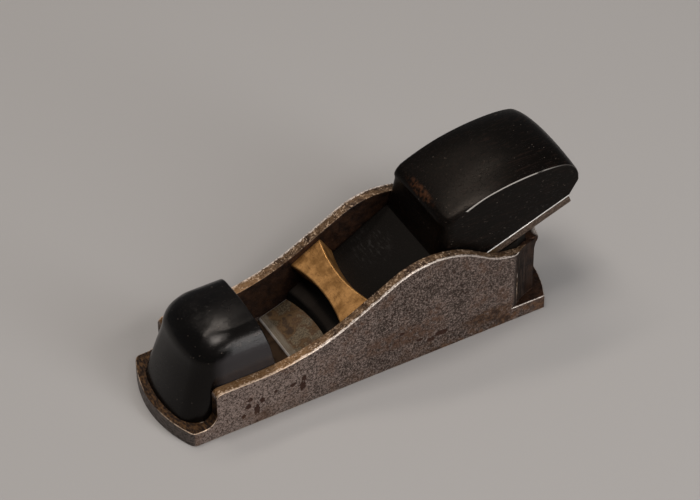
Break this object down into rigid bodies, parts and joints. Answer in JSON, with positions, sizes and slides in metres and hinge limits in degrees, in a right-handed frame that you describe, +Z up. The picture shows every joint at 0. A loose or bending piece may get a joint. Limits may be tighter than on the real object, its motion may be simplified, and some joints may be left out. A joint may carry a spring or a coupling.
{
  "type": "thumb plane",
  "caption": "Small metal-shod plane with a bed-set cutting iron, held under a waisted cross bridge by a wedge shaped as a palm rest, and a domed front bun.",
  "frame": {"origin": "centre of the flat sole, on its face", "axes": "+X along the sole from toe to heel, +Y across the body, +Z up from the sole"},
  "size_m": [0.1146, 0.0318, 0.0455],
  "materials": {
    "shoe_iron": "worn, lightly pitted",
    "ebony": "polished ebony",
    "cutter_steel": "aged, rust spotted",
    "bridge_brass": "soft aged",
    "pin_iron": "filed flush",
    "screw_steel": "dark"
  },
  "bodies": {
    "plane_body": {"shoe": "shoe_iron", "front_bun": "ebony", "bed_block": "ebony", "bridge": "bridge_brass", "bridge_pin_near_front": "pin_iron", "bridge_pin_near_rear": "pin_iron", "bridge_pin_far_front": "pin_iron", "bridge_pin_far_rear": "pin_iron", "bun_screw_front": "screw_steel", "bun_screw_rear": "screw_steel", "bed_screw_front": "screw_steel", "bed_screw_rear": "screw_steel"},
    "iron": {"iron": "cutter_steel"},
    "wedge": {"palm_wedge": "ebony"}
  },
  "joints": [
    {"name": "iron_slide", "type": "slide", "parent": "plane_body", "child": "iron", "axis": [0.9373, 0, 0.3486], "range_m": [-0.0006, 0.03]},
    {"name": "wedge_slide", "type": "slide", "parent": "plane_body", "child": "wedge", "axis": [0.9373, 0, 0.3486], "range_m": [0, 0.02]}
  ]
}
